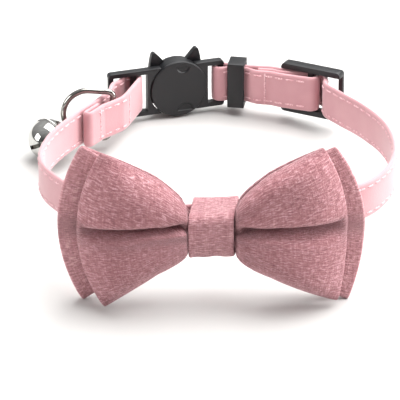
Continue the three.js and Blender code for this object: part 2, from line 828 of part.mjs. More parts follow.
function bellProfile() {
  const points = [];
  const rise = bellSeamHeight / 2;
  const half = [8, 22, 36, 50, 64, 78, 90].map((degrees) => [
    bellRadius * Math.cos(radians(degrees)), bellRadius * Math.sin(radians(degrees)),
  ]);
  half.slice().reverse().forEach(([x, z]) => points.push(plan(Math.max(0, x), -z)));
  points.push(plan(bellRadius, -rise), plan(bellRadius + bellSeamReach, -rise));
  points.push(plan(bellRadius + bellSeamReach, rise), plan(bellRadius, rise));
  half.forEach(([x, z]) => points.push(plan(Math.max(0, x), z)));
  points[0].x = 0;
  points.at(-1).x = 0;
  return points;
}

function bellSolid() {
  const shell = new THREE.LatheGeometry(bellProfile(), 28).rotateX(Math.PI / 2);
  const hollow = new THREE.SphereGeometry(bellRadius - bellWall, 20, 12);
  const loop = new THREE.TorusGeometry(bellLoopRadius, bellLoopWire / 2, 8, 20)
    .rotateX(Math.PI / 2)
    .translate(0, 0, loopOut);
  const slot = boxBetween(
    [-bellSlotLength / 2, -bellSlotWidth / 2, -bellRadius * 2],
    [bellSlotLength / 2, bellSlotWidth / 2, -bellRadius * 0.4],
  );
  const hole = (x) => new THREE.CylinderGeometry(bellHoleRadius, bellHoleRadius, bellRadius, 16)
    .rotateX(Math.PI / 2)
    .translate(x, 0, -bellRadius);
  return toSolid(shell)
    .add(toSolid(loop))
    .subtract(toSolid(hollow))
    .subtract(toSolid(slot))
    .subtract(toSolid(hole(-bellSlotLength / 2)))
    .subtract(toSolid(hole(bellSlotLength / 2)));
}

// The bell's own z points to the hook, and its loop stands across the ring's wire.
function placedBell() {
  const centre = bellCentre();
  const axis = hook.clone().sub(centre).normalize();
  const wire = onRingArc(bellLoopAngle + 1).sub(onRingArc(bellLoopAngle - 1));
  const across = wire.sub(axis.clone().multiplyScalar(wire.dot(axis))).normalize();
  const side = across.clone().cross(axis);
  const turn = new THREE.Matrix4().makeBasis(side, across, axis).setPosition(centre);
  return toGeometry(bellSolid()).applyMatrix4(turn);
}

const bell = named('bell', placedBell(), materials.metal);

// Whole collar, tipped on to the table, its origin under the middle of its box

const collar = new THREE.Group();
collar.add(strap, buckleClip, buckleHead, slide, keeper, dRing, bell, rear, front, knot);
collar.quaternion.setFromUnitVectors(table.up, new THREE.Vector3(0, 0, 1));

const whole = new THREE.Group();
whole.add(collar);
whole.updateMatrixWorld(true);
const box = new THREE.Box3().setFromObject(whole, true);
const middle = box.getCenter(new THREE.Vector3());
collar.position.set(-middle.x, -middle.y, -box.min.z);

export default whole;
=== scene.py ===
"""Pink pet collar with a double bow tie, a cat-head buckle and a bell, lying on a pale table.

The collar is drawn in its own frame, in millimetres: x to the right, y from the bow to the
buckle, z across the strap. on_table() then turns it on to the table, as the solids lie.
"""

import bmesh
import bpy
import numpy as np
from mathutils import Matrix, Quaternion, Vector


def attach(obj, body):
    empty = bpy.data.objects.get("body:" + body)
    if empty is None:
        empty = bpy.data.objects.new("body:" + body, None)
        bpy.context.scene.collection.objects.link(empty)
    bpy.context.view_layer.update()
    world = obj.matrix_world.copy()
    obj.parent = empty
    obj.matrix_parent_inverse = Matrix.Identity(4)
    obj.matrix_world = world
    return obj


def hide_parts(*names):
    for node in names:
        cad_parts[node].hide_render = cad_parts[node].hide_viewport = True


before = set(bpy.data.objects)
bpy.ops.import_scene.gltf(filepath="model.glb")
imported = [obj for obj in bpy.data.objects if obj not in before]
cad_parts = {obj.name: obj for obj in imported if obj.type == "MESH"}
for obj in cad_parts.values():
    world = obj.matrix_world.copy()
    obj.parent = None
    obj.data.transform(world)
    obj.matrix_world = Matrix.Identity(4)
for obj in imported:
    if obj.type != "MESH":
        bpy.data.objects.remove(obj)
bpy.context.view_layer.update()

MM = 0.001

# How the collar lies: turned by this and moved by this, in millimetres
TIP = np.array(Quaternion((0.997545, -0.066493, -0.021948, 0.0)).to_matrix())
LAID = np.array([2.167, 3.465, 9.156])

# Strap and ring
STRAP_WIDTH = 10.0
STRAP_THICK = 1.3
GAP = 0.3
PITCH = STRAP_THICK + GAP
RING_HALF_WIDTH = 45.2
RING_HALF_DEPTH = 41.8
TUCK_LENGTH = 3.8
HEM_LENGTH = 5.5
HEM_WIDTH = 3.2
CHANNEL_WIDTH = 5.1
LINE_STEP = 0.25

# Buckle, its bars by their places along it, and the strap's way round a bar
BUCKLE_ANGLE = 19.0
BUCKLE_ACROSS = -10.9
BUCKLE_INSET = 1.5
CLIP_MIDDLE_BAR = -12.6
CLIP_END_BAR = -19.0
HEAD_END_BAR = 12.2
BAR_THICK = 1.1
BAR_WIDTH = 1.4
FRAME_THICK = 2.2
WRAP = np.hypot(BAR_THICK, BAR_WIDTH) / 2 + GAP + STRAP_THICK / 2

# Slider, and the keeper by its places along the pair of layers
SLIDER_ANGLE = -27.0
SLIDER_ACROSS = 25.0
SLIDER_INSET = 4.5
HALF_SLIDER = 17.4 / 2
KEEPER_START = 2.3
KEEPER_END = 6.9

# Bow
CLOTH = 1.15
BOW_YAW = 4.0
BOW_ACROSS = -1.3
KNOT_WIDTH = 11.2


def on_table(points):
    """World metres from collar millimetres: turned by TIP, then moved by LAID."""
    return (np.asarray(points) @ TIP.T + LAID) * MM


def direction(degrees):
    """The plan direction at a heading: its cosine and its sine."""
    turn = np.radians(degrees)
    return np.array([np.cos(turn), np.sin(turn)])


def straight_piece(x, y, degrees):
    """Points of a hard piece's own plan frame: u along it and v out of it, from its middle."""
    along = direction(degrees)
    out = np.array([-along[1], along[0]])
    return lambda u, v: np.array([x, y]) + u * along + v * out


buckle = straight_piece(BUCKLE_ACROSS, RING_HALF_DEPTH - BUCKLE_INSET, BUCKLE_ANGLE)
slider = straight_piece(SLIDER_ACROSS, RING_HALF_DEPTH - SLIDER_INSET, SLIDER_ANGLE)
knot = straight_piece(BOW_ACROSS, -RING_HALF_DEPTH, BOW_YAW)


# Lines

def unit(vectors):
    """Vectors brought to a length of 1."""
    return vectors / np.linalg.norm(vectors, axis=-1, keepdims=True)


def full_turn(steps):
    """Even angles once round."""
    return np.linspace(0, 2 * np.pi, steps, endpoint=False)


def lengths_along(line):
    """Millimetres along a line at each of its points."""
    return np.r_[0, np.cumsum(np.linalg.norm(np.diff(line, axis=0), axis=1))]


def evenly(line, step):
    """A line resampled by its own length, at even steps close to the one asked for."""
    lengths = lengths_along(line)
    at = np.linspace(0, lengths[-1], max(3, int(round(lengths[-1] / step)) + 1))
    return np.stack([np.interp(at, lengths, axis) for axis in line.T], 1)


def smooth_line(points, step=LINE_STEP, closed=False):
    """A centripetal cubic through chosen points. Between two of them it is the cubic whose end
    slopes come from the neighbours, weighted by the roots of the distances."""
    p = np.asarray(points, float)
    if closed:
        p = np.concatenate([p[-1:], p, p[:2]])
    else:
        p = np.concatenate([[2 * p[0] - p[1]], p, [2 * p[-1] - p[-2]]])
    gaps = np.linalg.norm(np.diff(p, axis=0), axis=1)[:, None] ** 0.5
    before, here, after = gaps[:-2], gaps[1:-1], gaps[2:]
    p0, p1, p2, p3 = p[:-3], p[1:-2], p[2:-1], p[3:]
    leave = ((p1 - p0) / before - (p2 - p0) / (before + here) + (p2 - p1) / here) * here
    reach = ((p2 - p1) / here - (p3 - p1) / (here + after) + (p3 - p2) / after) * here
    u = np.linspace(0, 1, 40, endpoint=False)[None, :, None]
    a, b, c, d = (v[:, None] for v in (p1, p2, leave, reach))
    curve = (
        (2 * u ** 3 - 3 * u ** 2 + 1) * a + (3 * u ** 2 - 2 * u ** 3) * b
        + (u ** 3 - 2 * u ** 2 + u) * c + (u ** 3 - u ** 2) * d
    ).reshape(-1, p.shape[1])
    line = evenly(np.concatenate([curve, p2[-1:]]), step)
    return line[:-1] if closed else line


def arc(centre, radius, start, end, steps=24):
    """Points on a circle from one heading to another, the ends among them."""
    turn = np.radians(np.linspace(start, end, steps + 1))
    return centre + radius * np.stack([np.cos(turn), np.sin(turn)], 1)


def left_normals(line):
    """Unit normals on the left of a plan line, square to its slope."""
    chord = unit(np.gradient(line, axis=0))
    return np.stack([-chord[:, 1], chord[:, 0]], 1)


def beside(line, distance):
    """A line moved to its left by a distance, one number or one for each point."""
    return line + left_normals(line) * np.broadcast_to(distance, len(line))[:, None]


def heading_of(vector):
    """The heading of a plan vector in degrees."""
    return np.degrees(np.arctan2(vector[1], vector[0]))


# Meshes

def cells(rows, columns, close_rows, close_columns):
    """Corner numbers of the cells of a grid, wrapping where it closes on itself."""
    i, j = np.meshgrid(
        np.arange(rows if close_rows else rows - 1),
        np.arange(columns if close_columns else columns - 1), indexing="ij",
    )
    k, m = (i + 1) % rows, (j + 1) % columns
    corners = [i * columns + j, k * columns + j, k * columns + m, i * columns + m]
    return np.stack(corners, -1).reshape(-1, 4)


def volume(points, faces):
    """The volume inside closed faces, a sixth of the sum of the triple products of their
    triangles' corners: negative where they point inwards."""
    total = 0.0
    for group in faces:
        a = points[group[:, 0]]
        for k in range(1, group.shape[1] - 1):
            b, c = points[group[:, k]], points[group[:, k + 1]]
            total += np.einsum("ij,ij->", a, np.cross(b, c))
    return total / 6


def new_object(name, data):
    """An object in the scene."""
    made = bpy.data.objects.new(name, data)
    bpy.context.collection.objects.link(made)
    return made


def new_piece(name, points, faces, material, uv=None):
    """A closed mesh object in the table's frame. faces is a list of arrays, each of faces with
    as many corners, turned where they point inwards; uv is a pair for each face corner."""
    mesh = bpy.data.meshes.new(name)
    points = np.asarray(points).reshape(-1, 3)
    faces = [np.asarray(f, np.int32) for f in faces]
    if volume(points, faces) < 0:
        faces = [f[:, ::-1] for f in faces]
        if uv is not None:
            uv = uv.reshape(-1, faces[0].shape[1], 2)[:, ::-1].reshape(-1, 2)
    corners = np.concatenate([f.ravel() for f in faces])
    counts = np.concatenate([np.full(len(f), f.shape[1], np.int32) for f in faces])
    mesh.vertices.add(len(points))
    mesh.vertices.foreach_set("co", on_table(points).astype(np.float32).ravel())
    mesh.loops.add(len(corners))
    mesh.loops.foreach_set("vertex_index", corners)
    mesh.polygons.add(len(counts))
    mesh.polygons.foreach_set("loop_start", np.r_[0, np.cumsum(counts)[:-1]].astype(np.int32))
    mesh.polygons.foreach_set("loop_total", counts)
    mesh.polygons.foreach_set("use_smooth", np.full(len(counts), True))
    if uv is not None:
        mesh.uv_layers.new(name="cloth_mm").data.foreach_set("uv", uv.astype(np.float32).ravel())
    mesh.update(calc_edges=True)
    mesh.validate()
    piece = new_object(name, mesh)
    mesh.materials.append(material)
    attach(piece, "root")
    return piece


def there_and_back(count):
    """Numbers up one face of a shell and down the other, each end once."""
    up = np.arange(count)
    return np.concatenate([up, up[-2:0:-1]])


def turned_about(profile, steps=96):
    """A surface of revolution: each profile point at its radius, turned about the z axis."""
    turn = full_turn(steps)
    radius, height = profile.T
    return np.stack([
        np.cos(turn)[:, None] * radius, np.sin(turn)[:, None] * radius,
        np.broadcast_to(height, (steps, len(height))),
    ], -1)


def loop_faces(grid):
    """The faces of a grid that closes both ways."""
    return [cells(*grid.shape[:2], True, True)]


def tube_faces(grid):
    """The faces of a grid whose columns close, its first and last rows as caps."""
    rows, columns = grid.shape[:2]
    first = np.arange(columns)[None]
    return [cells(rows, columns, False, True), first[:, ::-1], first + (rows - 1) * columns]


def turned_faces(grid):
    """The faces of a grid whose rows close, its first and last columns as caps."""
    rows, columns = grid.shape[:2]
    first = (np.arange(rows) * columns)[None]
    return [cells(rows, columns, True, False), first[:, ::-1], first + columns - 1]


# Materials

def linear(code):
    """A linear colour from an sRGB hex value, by the sRGB curve."""
    value = np.array([int(code[i:i + 2], 16) for i in (1, 3, 5)]) / 255
    value = np.where(value <= 0.04045, value / 12.92, ((value + 0.055) / 1.055) ** 2.4)
    return (*value.tolist(), 1.0)


def fill(tree, node, **inputs):
    """Fills a node's inputs with values or links; n0, n1 and n2 are inputs by their number."""
    for key, value in inputs.items():
        numbered = key[0] == "n" and key[1:].isdigit()
        socket = node.inputs[int(key[1:]) if numbered else key.replace("_", " ")]
        if isinstance(value, bpy.types.NodeSocket):
            tree.links.new(value, socket)
        else:
            socket.default_value = value


def add_node(tree, kind, settings=None, **inputs):
    """Adds a shader node, sets its own properties and fills its inputs."""
    node = tree.nodes.new("ShaderNode" + kind)
    for key, value in (settings or {}).items():
        setattr(node, key, value)
    fill(tree, node, **inputs)
    return node


def new_material(name):
    """An empty material with its principled surface and its output."""
    material = bpy.data.materials.new(name)
    material.use_nodes = True
    tree = material.node_tree
    tree.nodes.clear()
    surface = add_node(tree, "BsdfPrincipled")
    add_node(tree, "OutputMaterial", Surface=surface.outputs["BSDF"])
    return material, tree, surface


def object_place(tree):
    """Places in metres on the piece."""
    return add_node(tree, "TexCoord").outputs["Object"]


def stretched(tree, place, scale):
    """Places multiplied by a scale for each axis."""
    return add_node(tree, "Mapping", Vector=place, Scale=scale).outputs["Vector"]


def noise(tree, place, scale, detail, roughness=0.5, distortion=0.0):
    """Cloudy noise from 0 to 1."""
    return add_node(
        tree, "TexNoise", Vector=place, Scale=scale, Detail=detail,
        Roughness=roughness, Distortion=distortion,
    ).outputs["Fac"]


def scaled_sum(tree, value, factor, added):
    """A value times a factor, plus another value."""
    return add_node(
        tree, "Math", {"operation": "MULTIPLY_ADD"}, n0=value, n1=factor, n2=added,
    ).outputs["Value"]


def ranged(tree, value, given, wanted):
    """A value moved from one range to another and kept inside it."""
    return add_node(
        tree, "MapRange", Value=value, From_Min=given[0], From_Max=given[1],
        To_Min=wanted[0], To_Max=wanted[1],
    ).outputs["Result"]


def bumped(tree, height, strength, distance):
    """Normals of a surface raised by a height."""
    return add_node(
        tree, "Bump", Strength=strength, Distance=distance, Height=height,
    ).outputs["Normal"]


def ramp(tree, factor, stops):
    """A colour ramp over hex stops, each at its place from 0 to 1."""
    node = add_node(tree, "ValToRGB", Fac=factor)
    elements = node.color_ramp.elements
    while len(elements) < len(stops):
        elements.new(0.5)
    for element, (place, code) in zip(elements, stops):
        element.position = place
        element.color = linear(code)
    return node.outputs["Color"]


def slub_knit(name, dark, middle, light):
    """Ribbed cotton knit, piece dyed: uneven yarns catch the light as broken streaks, and short
    ribs cross them. Its map is in millimetres of cloth."""
    material, tree, surface = new_material(name)
    uv = add_node(tree, "UVMap", {"uv_map": "cloth_mm"}).outputs["UV"]
    # Yarns about 0.3 mm apart, drawn coarser than the real ones so that they show
    yarn = noise(tree, stretched(tree, uv, (0.62, 3.4, 1.0)), 1.0, 3.0, 0.62, 0.25)
    rib = noise(tree, stretched(tree, uv, (2.2, 0.5, 1.0)), 1.0, 2.0)
    patches = noise(tree, uv, 0.12, 2.0)
    fine = noise(tree, uv, 3.2, 1.0)
    threads = scaled_sum(tree, yarn, 0.8, scaled_sum(tree, rib, 0.25, 0.0))
    shade = ranged(tree, scaled_sum(tree, patches, 0.12, threads), (0.4, 0.78), (0.0, 1.0))
    fill(
        tree, surface, Base_Color=ramp(tree, shade, [(0.0, dark), (0.5, middle), (1.0, light)]),
        Normal=bumped(tree, scaled_sum(tree, fine, 0.3, threads), 1.0, 0.0005),
        Roughness=0.88, Specular_IOR_Level=0.25,
        Sheen_Weight=0.55, Sheen_Roughness=0.4, Sheen_Tint=linear("#F9DCE0"),
    )
    return material


def coated_strap(name, base, pale):
    """Coated imitation leather: a knife-coated face with a fine pressed grain and soft gloss."""
    material, tree, surface = new_material(name)
    place = object_place(tree)
    # Grain cells about 0.45 mm across
    grain = add_node(
        tree, "TexVoronoi", {"feature": "SMOOTH_F1"}, Vector=place,
        Scale=2200.0, Smoothness=0.6,
    ).outputs["Distance"]
    cloud = noise(tree, place, 180.0, 3.0)
    fill(
        tree, surface, Base_Color=ramp(tree, cloud, [(0.3, base), (0.7, pale)]),
        Roughness=ranged(tree, cloud, (0.3, 0.7), (0.5, 0.6)),
        Normal=bumped(tree, grain, 0.25, 0.00008),
        Specular_IOR_Level=0.6, Sheen_Weight=0.4, Sheen_Roughness=0.5,
    )
    return material


def spun_thread(name, base, pale):
    """Polyester sewing thread, twisted: light fibres over a slightly darker core."""
    material, tree, surface = new_material(name)
    twist = noise(tree, object_place(tree), 3000.0, 1.0)
    fill(
        tree, surface, Base_Color=ramp(tree, twist, [(0.35, base), (0.65, pale)]),
        Roughness=0.7, Sheen_Weight=0.3,
    )
    return material


def moulded_black(name):
    """Black acetal, injection moulded in a spark-finished mould: satin, finely pebbled, with
    worn, slightly lighter high spots."""
    material, tree, surface = new_material(name)
    place = object_place(tree)
    pebble = noise(tree, place, 2600.0, 2.0, 0.6)
    cloud = noise(tree, place, 160.0, 3.0, 0.6)
    fill(
        tree, surface, Base_Color=ramp(tree, cloud, [(0.3, "#0D0D10"), (0.75, "#151619")]),
        Roughness=ranged(tree, cloud, (0.3, 0.7), (0.38, 0.5)),
        Normal=bumped(tree, pebble, 0.2, 0.00004), IOR=1.48,
    )
    return material


def nickel(name, tone, pale, roughness):
    """Nickel plate on pressed steel, barrel polished: bright under faint fine scratches."""
    material, tree, surface = new_material(name)
    drawn = stretched(tree, object_place(tree), (1.0, 6.0, 1.0))
    scratch = noise(tree, drawn, 700.0, 4.0, 0.65)
    fill(
        tree, surface, Base_Color=ramp(tree, scratch, [(0.3, tone), (0.7, pale)]),
        Roughness=ranged(tree, scratch, (0.35, 0.7), roughness), Metallic=1.0,
    )
    return material


# One knit in three shades: the rear bow's and the knot's copies are painted lighter than the front
# bow's, standing in for light that falls on them
CLOTH_FRONT = slub_knit("slub_knit", "#86555B", "#A97479", "#DAADB2")
CLOTH_REAR_PAINTED_LIGHTER = slub_knit("slub_knit_rear_painted_lighter", "#9C6A6F", "#C28B90", "#E8BCC1")
CLOTH_KNOT_PAINTED_LIGHTER = slub_knit("slub_knit_knot_painted_lighter", "#946368", "#B88489", "#E6BCC0")
STRAP_PINK = coated_strap("coated_strap", "#C28C92", "#C8959A")
THREAD = spun_thread("sewing_thread", "#C98A92", "#F0CDD1")
PLASTIC = moulded_black("moulded_acetal")
# The bell's plate is nearly a mirror, the ring's wire is duller
BRIGHT = nickel("nickel_plate", "#B9B8B5", "#D8D7D4", (0.05, 0.12))
WIRE = nickel("nickel_wire", "#85837F", "#A5A39F", (0.1, 0.22))


# Strap, through the same chosen points as the solid

# The free runs of the ring, across and along, as shares of its half width and half depth
LEFT_RUN = [
    (-0.686, 0.556), (-0.735, 0.46), (-0.792, 0.36), (-0.854, 0.243), (-0.919, 0.1),
    (-0.972, -0.06), (-1.0, -0.25), (-0.985, -0.42), (-0.92, -0.58), (-0.78, -0.765),
    (-0.5, -0.945),
]
RIGHT_RUN = [
    (0.47, -0.9), (0.79, -0.73), (0.93, -0.52), (1.0, -0.24), (0.965, 0.14),
    (0.852, 0.415), (0.713, 0.636),
]
RING_SIZE = np.array([RING_HALF_WIDTH, RING_HALF_DEPTH])

# The way through the knot: shares of its width, and millimetres into the ring
KNOT_RUN = [(-1.25, 0.7), (-0.85, 0.06), (-0.56, 0), (0.56, 0), (0.85, 0.06), (1.25, 0.7)]

# At the slider the sewn end's tucked tongue lies under the outer layer. It lies this far out
# halfway to the slider's end and at it.
TUCKED_HALF, TUCKED_END = 0.35, -1.2
OVER_TUCK = PITCH + 0.1

# The pair of layers between slider and buckle runs straight from the head's end bar
head_bar = buckle(HEAD_END_BAR, 0)
pair_start = slider(-HALF_SLIDER - 2.5, TUCKED_END + PITCH / 2)
pair_heading = heading_of(pair_start - head_bar)
pair = straight_piece(*head_bar, pair_heading)
pair_length = np.linalg.norm(pair_start - head_bar)
tuck_end = pair_length - TUCK_LENGTH
OVER_BAR = WRAP + 0.15

# The channel's start, and the share of it where the D ring's bar lies
channel_top = buckle(CLIP_END_BAR - 2.2, -6.1)
RING_BAR_SHARE = 0.3

# Points left out of a layer where it goes over into the arc round a bar
JOIN = 4


def outer_layer():
    """The outer layer in plan, from the clip's middle bar round the ring to the head's bar."""
    under = BAR_THICK / 2 + GAP + STRAP_THICK / 2
    half = PITCH / 2
    return smooth_line([
        buckle(CLIP_MIDDLE_BAR + WRAP * 0.2, WRAP),
        buckle(CLIP_MIDDLE_BAR - 1.6, WRAP * 0.85),
        buckle(CLIP_END_BAR + 1.9, -under * 0.75),
        buckle(CLIP_END_BAR + 0.2, -under - 0.5),
        channel_top,
        *(np.array(share) * RING_SIZE for share in LEFT_RUN),
        *(knot(share * KNOT_WIDTH, inwards) for share, inwards in KNOT_RUN),
        *(np.array(share) * RING_SIZE for share in RIGHT_RUN),
        slider(WRAP + 3.9, -2.9),
        slider(WRAP + 2.1, 1.0),
        slider(WRAP + 0.1, WRAP + 1.2),
        slider(0, WRAP + OVER_TUCK),
        slider(-HALF_SLIDER / 2, TUCKED_HALF + OVER_TUCK),
        slider(-HALF_SLIDER + 0.3, TUCKED_END + OVER_TUCK),
        pair(pair_length, half + 0.1),
        pair(tuck_end, half + 0.1),
        pair(KEEPER_END, half),
        pair(KEEPER_START, half + 0.15),
        pair(0.6, OVER_BAR),
    ])


def inner_layer():
    """The inner layer in plan, from the head's end bar to the slider's middle bar."""
    half = PITCH / 2
    return smooth_line([
        pair(0.6, -OVER_BAR),
        pair(KEEPER_START, -half - 0.15),
        pair(KEEPER_END, -half),
        pair(tuck_end - 0.4, -PITCH * 1.4),
        pair(pair_length, -PITCH * 1.6),
        slider(-HALF_SLIDER + 0.3, TUCKED_END - OVER_TUCK),
        slider(-HALF_SLIDER / 2, -WRAP - 0.6),
        slider(0, -WRAP),
    ])


def tucked_tongue():
    """The sewn end in plan, from the slider's middle bar back between the two layers."""
    half = PITCH / 2
    return smooth_line([
        slider(0, WRAP),
        slider(-HALF_SLIDER / 2, TUCKED_HALF),
        slider(-HALF_SLIDER + 0.3, TUCKED_END),
        pair(pair_length, -half),
        pair(tuck_end, -half),
    ])


def channel_and_hem(outer):
    """The layer of the D ring's channel, narrowing from the ring's bar to its end, the hem
    turned in under that end, and the middle of the ring's bar."""
    def nearest(place):
        return np.argmin(np.linalg.norm(outer - place, axis=1))

    start = nearest(channel_top)
    end = nearest(np.array(LEFT_RUN[2]) * RING_SIZE) + 2
    hem_start = end - int(HEM_LENGTH / LINE_STEP)
    along = (np.arange(len(outer)) - start) / (hem_start - start)
    narrow = (np.clip(along, RING_BAR_SHARE, 1) - RING_BAR_SHARE) / (1 - RING_BAR_SHARE)
    width = CHANNEL_WIDTH + (HEM_WIDTH - CHANNEL_WIDTH) * narrow
    channel = beside(outer, width)[start:end + 1]
    hem = beside(outer, width - PITCH)[hem_start:end + 1]
    bar = start + int(round((end - 1 - start) * RING_BAR_SHARE))
    return channel, hem, beside(outer, CHANNEL_WIDTH / 2)[bar]


def strap_run():
    """The strap's middle line in plan, its layers alone, and where the D ring's bar lies."""
    outer, inner = outer_layer(), inner_layer()
    channel, hem, bar = channel_and_hem(outer)
    hem_middle = (channel[-1] + hem[-1]) / 2
    hem_heading = heading_of(hem[-1] - hem_middle)
    clip_bar = buckle(CLIP_MIDDLE_BAR, 0)
    away = channel[0] - clip_bar
    touch = heading_of(away) + np.degrees(np.arccos(WRAP / np.linalg.norm(away)))
    run = np.concatenate([
        hem,
        arc(hem_middle, PITCH / 2, hem_heading, hem_heading + 180, 10)[1:-1],
        channel[::-1],
        arc(clip_bar, WRAP, touch, BUCKLE_ANGLE + 80),
        outer[JOIN:-JOIN],
        arc(head_bar, WRAP, pair_heading + 90, pair_heading + 270),
        inner[JOIN:-JOIN],
        arc(slider(0, 0), WRAP, SLIDER_ANGLE - 90, SLIDER_ANGLE + 90),
        tucked_tongue()[JOIN:],
    ])
    return evenly(run, 0.35), {"outer": outer, "inner": inner, "channel": channel}, bar


run, strap_layers, ring_bar = strap_run()

# Stitches lie this far in from both edges and follow each other at this step
STITCH_INSET, STITCH_STEP = 1.4, 3.05


def strap_section():
    """Half the strap's thickness at each height: rounded at its edges, with a shallow groove
    under each row of stitches."""
    height = STRAP_WIDTH * (1 - np.cos(np.linspace(0, np.pi, 33))) / 2
    share = np.abs(height / STRAP_WIDTH * 2 - 1)
    half = STRAP_THICK / 2 * np.sqrt(1 - share ** 12)
    groove_depth, groove_reach = 0.07, 0.4
    for row in (STITCH_INSET, STRAP_WIDTH - STITCH_INSET):
        half = half - groove_depth * np.exp(-((height - row) / groove_reach) ** 2)
    return height, np.maximum(half, 0)


def ribbon(line):
    """The section at each point of a line: left of it going up and right of it coming down."""
    height, half = strap_section()
    normals = left_normals(line)
    around = there_and_back(len(height))
    side = np.where(np.arange(len(around)) < len(height), 1.0, -1.0) * half[around]
    grid = np.empty((len(line), len(around), 3))
    grid[..., :2] = line[:, None] + normals[:, None] * side[None, :, None]
    grid[..., 2] = height[around]
    return grid


strap_grid = ribbon(run)
strap = new_piece("strap_skin", strap_grid, tube_faces(strap_grid), STRAP_PINK)
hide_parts("strap")


def stitch_shape():
    """One stitch as a grid: an arch of thread, its ends going down into the strap."""
    half_length, thread, taper, rise, sunk = 1.12, 0.25, 0.55, 0.13, 0.12
    share, turn = np.meshgrid(
        np.linspace(-1, 1, 9), np.linspace(0, 2 * np.pi, 7)[:-1], indexing="ij",
    )
    radius = thread * np.sqrt(1 - taper * share ** 4)
    lift = rise * (1 - share ** 4) - sunk
    return np.stack(
        [share * half_length, np.cos(turn) * radius, np.sin(turn) * radius + lift], -1,
    )


def stitch_rows(name, lines):
    """Copies of the stitch along rows of places, directions and ways out of the face."""
    places, along, out = (np.concatenate(column) for column in zip(*lines))
    axes = np.stack([along, np.cross(out, along), out], 1)
    shape = stitch_shape()
    rows, columns, _ = shape.shape
    points = places[:, None] + shape.reshape(-1, 3) @ axes
    start = np.arange(len(places))[:, None, None] * rows * columns
    faces = (cells(rows, columns, False, True) + start).reshape(-1, 4)
    return new_piece(name, points, [faces], THREAD)


def on_face(middle, height, normal, side):
    """Places at heights on one face of the strap, just under its surface, and the way out."""
    out = np.c_[normal * side, np.zeros(len(middle))]
    return np.c_[middle, height] + out * (STRAP_THICK / 2 - 0.05), out


def edge_rows(line, sides, skip=2.0):
    """Rows of stitches along a plan line, in from both edges, on its left face for +1 and its
    right one for -1. Its two ends are skipped."""
    line = evenly(line, 0.2)
    lengths = lengths_along(line)
    at = np.arange(skip, lengths[-1] - skip, STITCH_STEP)
    middle = np.stack([np.interp(at, lengths, axis) for axis in line.T], 1)
    normal = unit(np.stack([np.interp(at, lengths, axis) for axis in left_normals(line).T], 1))
    along = np.c_[normal[:, 1], -normal[:, 0], np.zeros(len(at))]
    rows = []
    for side in sides:
        for height in (STITCH_INSET, STRAP_WIDTH - STITCH_INSET):
            places, out = on_face(middle, np.full(len(at), height), normal, side)
            rows.append((places, along, out))
    return rows


def cross_row(line, x, side, count=4):
    """A row of stitches across the strap where its line passes x, on one face."""
    index = np.argmin(np.abs(line[:, 0] - x))
    height = np.linspace(1.7, STRAP_WIDTH - 1.7, count)
    middle = np.tile(line[index], (count, 1))
    normal = np.tile(left_normals(line)[index], (count, 1))
    places, out = on_face(middle, height, normal, side)
    return places, np.tile([0.0, 0.0, 1.0], (count, 1)), out


stitch_rows("strap_stitches", [
    *edge_rows(strap_layers["outer"], (1, -1)),
    *edge_rows(strap_layers["inner"], (-1,), skip=1.6),
    *edge_rows(strap_layers["channel"], (1,), skip=3.0),
    cross_row(strap_layers["inner"], 12.7, -1),
    cross_row(strap_layers["channel"], -31.3, 1),
    cross_row(strap_layers["channel"], -24.0, 1),
])


# Hard pieces

def rounded_copy(name, node, edge):
    """A merged copy of a black solid, flat faces joined and its sharp edges rounded."""
    source = bpy.data.objects[node]
    mesh = source.data.copy()
    mesh.name = name
    work = bmesh.new()
    work.from_mesh(mesh)
    work.transform(source.matrix_world)
    bmesh.ops.remove_doubles(work, verts=work.verts, dist=2e-6)
    bmesh.ops.dissolve_limit(
        work, angle_limit=np.radians(1.0), verts=work.verts, edges=work.edges,
    )
    for face in work.faces:
        face.smooth = True
    work.to_mesh(mesh)
    work.free()
    mesh.materials.clear()
    mesh.materials.append(PLASTIC)
    piece = new_object(name, mesh)
    bevel = piece.modifiers.new("moulded_edges", "BEVEL")
    bevel.width = edge * MM
    bevel.segments = 3
    bevel.limit_method = "ANGLE"
    bevel.angle_limit = np.radians(35)
    bevel.harden_normals = True
    bevel.use_clamp_overlap = True
    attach(piece, "root")
    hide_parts(node)


for name, node, edge in (
    ("clip_half", "buckle_clip", 0.28),
    ("cat_head_half", "buckle_cat_head", 0.25),
    ("tri_glide", "slider", 0.3),
    ("keeper_sleeve", "keeper", 0.3),
):
    rounded_copy(name, node, edge)


# The cat head's lid: how far it stands out of the frame and goes into it, and the radius of
# the facet in its middle
LID = {"radius": 7.95, "rim": 0.35, "proud": 0.42, "sunk": 0.3, "facet": 0.2}

# Half-moon recesses: a circle's middle across and up, its radius, the height of a level line,
# and +1 to keep what is below that line
RECESSES = [(1.15, 6.5, 1.8, 6.3, 1), (1.7, -6.6, 2.2, -6.4, -1)]
RECESS_DEPTH, RECESS_EDGE = 0.38, 0.05


def head_face():
    """The lid, turned: flat, with a rounded rim and both recesses, each the product of two
    smooth steps."""
    radius, rim, proud = LID["radius"], LID["rim"], LID["proud"]
    flat = np.linspace(LID["facet"], radius - rim, 64)
    turn = np.radians(np.linspace(90, 0, 9))
    top = np.concatenate([
        np.stack([flat, np.full(64, proud)], 1),
        np.stack([radius - rim + rim * np.cos(turn), proud - rim + rim * np.sin(turn)], 1)[1:],
        [[radius, -LID["sunk"]], [LID["facet"], -LID["sunk"]]],
    ])
    u, w, lift = np.moveaxis(turned_about(top, 240), -1, 0)
    for middle_u, middle_w, reach, line, facing in RECESSES:
        inside = reach - np.hypot(u - middle_u, w - middle_w)
        beyond = (line - w) * facing
        mask = 1 / (1 + np.exp(-inside / RECESS_EDGE)) / (1 + np.exp(-beyond / RECESS_EDGE))
        lift = lift - np.where(lift > proud - 0.05, mask * RECESS_DEPTH, 0)
    plan = buckle(u[..., None], -(FRAME_THICK / 2 + lift)[..., None])
    grid = np.concatenate([plan, (STRAP_WIDTH / 2 + w)[..., None]], -1)
    new_piece("head_face", grid, turned_faces(grid), PLASTIC)


head_face()


